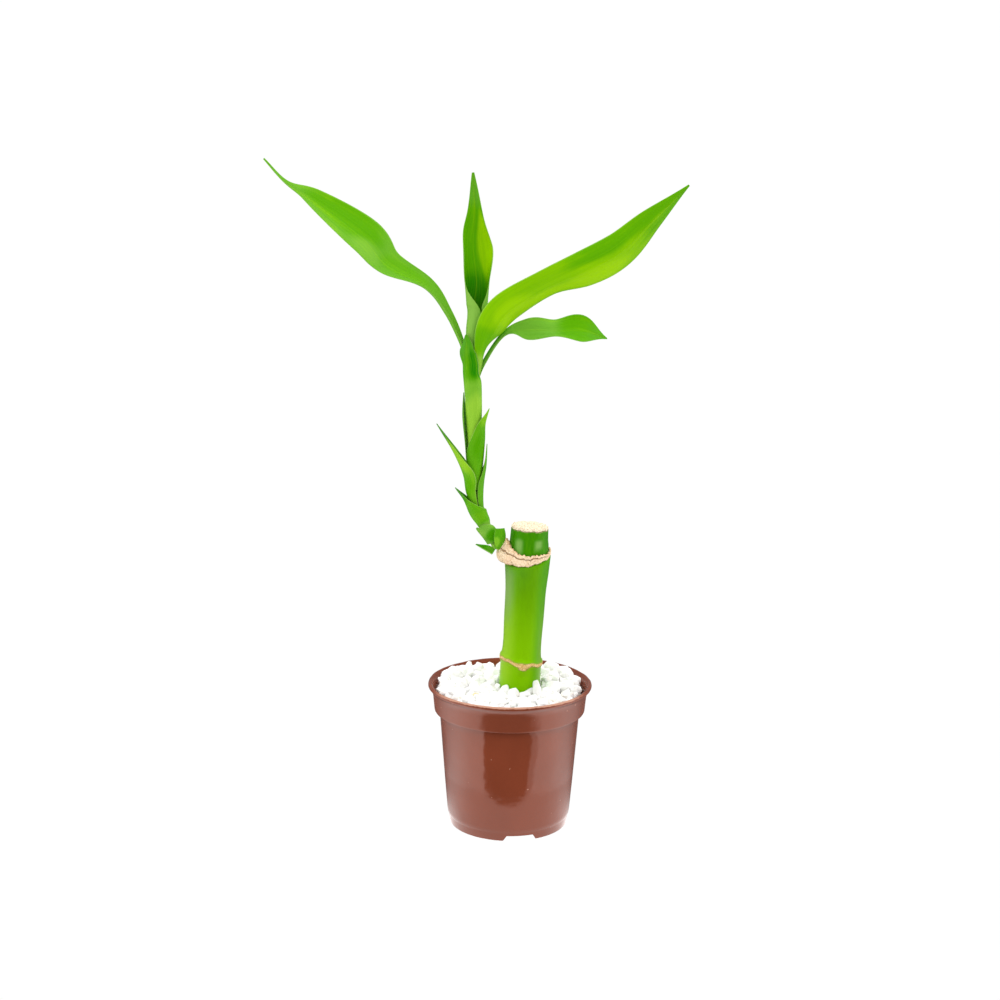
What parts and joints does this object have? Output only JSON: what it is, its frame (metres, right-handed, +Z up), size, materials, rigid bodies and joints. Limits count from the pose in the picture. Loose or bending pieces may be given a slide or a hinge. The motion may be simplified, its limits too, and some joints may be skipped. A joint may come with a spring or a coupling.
{
  "type": "lucky bamboo plant in pot",
  "caption": "Cut lucky bamboo cane with one leafy side shoot, planted in soil under white gravel in a small flared plastic nursery pot with a rim band.",
  "frame": {"origin": "bottom centre of the bounding box, on the surface the pot stands on; the pot's axis is at x = 14.5 mm, y = 0", "axes": "+Z up along the pot's axis, the shoot and the foot notch shown in front facing -Y, the longest leaf reaching towards -X"},
  "size_m": [0.1468, 0.06, 0.2408],
  "materials": {
    "pot": "gloss",
    "soil": "matte",
    "gravel": "matte",
    "cane": "satin",
    "dried_tissue": "matte",
    "shoot": "satin",
    "bract": "satin",
    "leaf": "satin"
  },
  "bodies": {
    "root": {"pot": "pot", "soil": "soil", "gravel": "gravel", "cane": "cane", "dried_collar": "dried_tissue", "shoot_stem": "shoot", "bract_basal": "bract", "bract_torn": "bract", "bract_lower": "bract", "bract_left_short": "bract", "bract_right_thin": "bract", "bract_left_long": "bract", "bract_right": "bract", "bract_left": "bract", "leaf_sheath": "leaf", "leaf_left": "leaf", "leaf_right": "leaf", "leaf_rolled": "leaf", "leaf_short": "leaf"}
  },
  "joints": []
}
